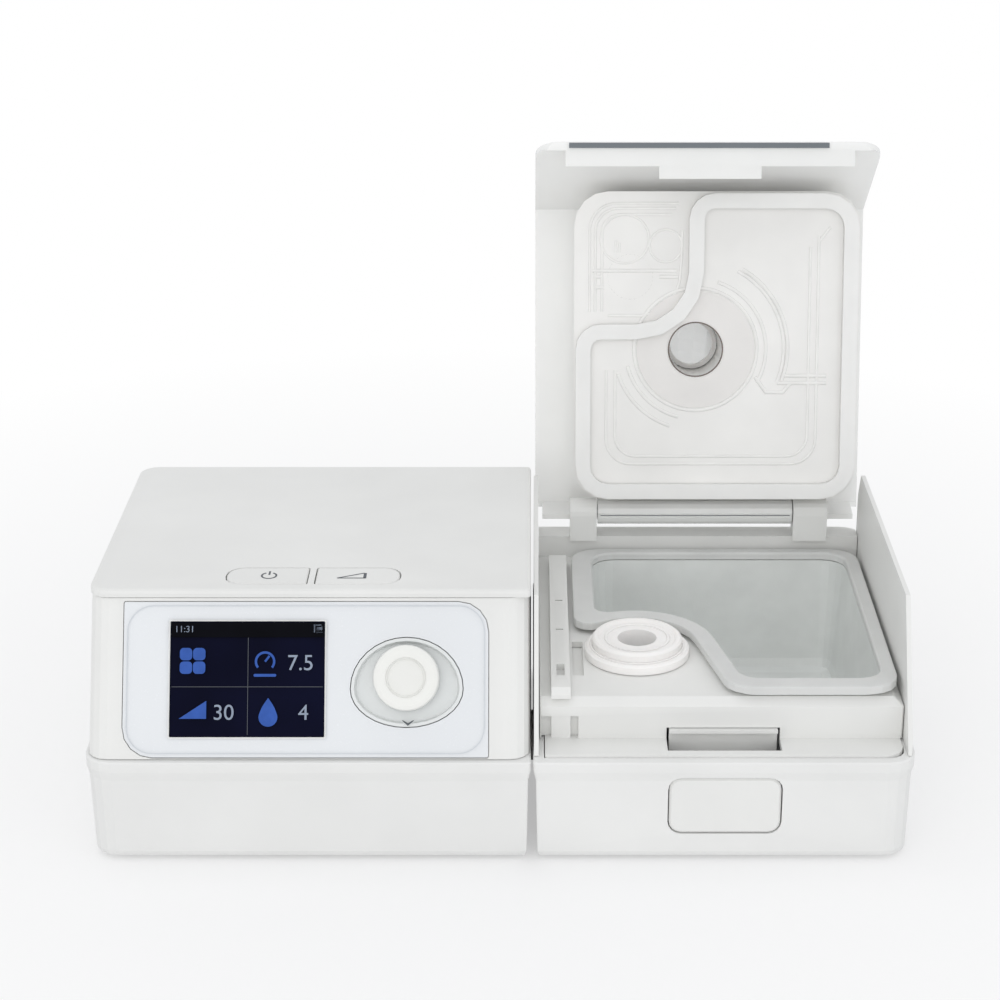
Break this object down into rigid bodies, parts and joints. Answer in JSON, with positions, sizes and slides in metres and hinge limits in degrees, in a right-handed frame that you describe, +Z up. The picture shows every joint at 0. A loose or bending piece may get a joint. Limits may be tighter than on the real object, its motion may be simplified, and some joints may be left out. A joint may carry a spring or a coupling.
{
  "type": "bedside breathing machine with humidifier",
  "caption": "Blower unit with sloped screen and press dial beside a humidifier with hinged lid, lift-out water tub, air port and latch button",
  "frame": {"origin": "centre of the bounding box in plan with the lid open, at the underside of the feet", "axes": "+Z up, the front with screen, dial and latch button faces -Y, the humidifier is on the +X side"},
  "size_m": [0.265, 0.1948, 0.2043],
  "materials": {
    "shell_white": "satin white",
    "glossy_white": "gloss white",
    "panel_film": "satin film",
    "screen": "dark screen",
    "clear_window": "clear",
    "silicone": "frosted silicone",
    "clear_plastic": "clear moulded plastic",
    "aluminium": "bead blasted",
    "steel": "brushed",
    "board_green": "solder mask",
    "black_plastic": "satin black",
    "grey_trim": "satin grey",
    "rubber": "matt",
    "foam": "open foam",
    "lid_white": "satin white"
  },
  "bodies": {
    "machine": {"air_filter": "foam", "air_port_seal": "silicone", "blower_lower_case": "black_plastic", "blower_motor": "steel", "blower_mount": "rubber", "blower_upper_case": "black_plastic", "capacitor": "black_plastic", "card_socket": "steel", "chamber_well": "shell_white", "connector_strip": "shell_white", "control_board": "board_green", "coupling_seal": "silicone", "dial_dish": "glossy_white", "dial_encoder": "black_plastic", "display_window": "clear_window", "filter_tray": "black_plastic", "heater_element": "black_plastic", "heater_plate": "aluminium", "hinge_pin": "steel", "humidifier_base_tray": "shell_white", "humidifier_housing": "shell_white", "humidifier_screw": "steel", "key_board": "board_green", "key_mat": "silicone", "latch_spring": "steel", "lcd_holder": "black_plastic", "lcd_module": "screen", "main_base_tray": "shell_white", "main_housing": "glossy_white", "main_screw": "steel", "outlet_duct": "silicone", "overlay_panel": "panel_film", "port_duct": "black_plastic", "power_board": "board_green", "power_inlet": "black_plastic", "side_panel_left": "shell_white", "side_panel_right": "shell_white", "top_cover": "shell_white"},
    "dial_press": {"encoder_plunger": "black_plastic"},
    "dial": {"dial_knob": "glossy_white", "encoder_shaft": "steel"},
    "start_button": {"start_key": "glossy_white"},
    "ramp_button": {"ramp_key": "glossy_white"},
    "rotor": {"impeller": "black_plastic", "motor_shaft": "steel"},
    "filter_door": {"filter_cover": "shell_white"},
    "card": {"memory_card": "black_plastic"},
    "chamber": {"chamber_tub": "aluminium", "chamber_rim": "silicone"},
    "lid": {"lid_shell": "lid_white", "lid_trim": "grey_trim", "lid_clear_cover": "clear_plastic", "lid_gasket": "silicone", "outlet_seal_ring": "silicone"},
    "elbow": {"outlet_elbow": "shell_white"},
    "latch_button": {"release_button": "shell_white", "latch_catch": "shell_white"}
  },
  "joints": [
    {"name": "lid_hinge", "type": "hinge", "parent": "machine", "child": "lid", "pos_m": [0.0711, 0.03959, 0.067], "axis": [-1, 0, 0], "range_deg": [-102, 0]},
    {"name": "elbow_swivel", "type": "hinge", "parent": "lid", "child": "elbow", "pos_m": [0.0686, 0.06939, 0.12252], "axis": [0, 0.9781, -0.2079], "continuous": true},
    {"name": "chamber_lift", "type": "slide", "parent": "machine", "child": "chamber", "axis": [0, 0, 1], "range_m": [0, 0.018]},
    {"name": "latch_press", "type": "slide", "parent": "machine", "child": "latch_button", "axis": [0, 1, 0], "range_m": [0, 0.0022], "stiffness_N_per_m": 300},
    {"name": "start_press", "type": "slide", "parent": "machine", "child": "start_button", "axis": [0, 0, -1], "range_m": [0, 0.0008], "stiffness_N_per_m": 500, "springref_m": -0.0003},
    {"name": "ramp_press", "type": "slide", "parent": "machine", "child": "ramp_button", "axis": [0, 0, -1], "range_m": [0, 0.0008], "stiffness_N_per_m": 500, "springref_m": -0.0003},
    {"name": "dial_push", "type": "slide", "parent": "machine", "child": "dial_press", "axis": [0, 0.8902, -0.4555], "range_m": [0, 0.0006], "stiffness_N_per_m": 800, "springref_m": -0.0003},
    {"name": "dial_turn", "type": "hinge", "parent": "dial_press", "child": "dial", "pos_m": [-0.0297, -0.08356, 0.05915], "axis": [0, -0.8902, 0.4555], "continuous": true},
    {"name": "impeller_spin", "type": "hinge", "parent": "machine", "child": "rotor", "pos_m": [-0.0819, -0.00541, 0.02], "axis": [0, 0, 1], "continuous": true},
    {"name": "filter_pull", "type": "slide", "parent": "machine", "child": "filter_door", "axis": [0, 1, 0], "range_m": [0, 0.012]},
    {"name": "card_pull", "type": "slide", "parent": "machine", "child": "card", "axis": [0, 1, 0], "range_m": [0, 0.026]}
  ]
}
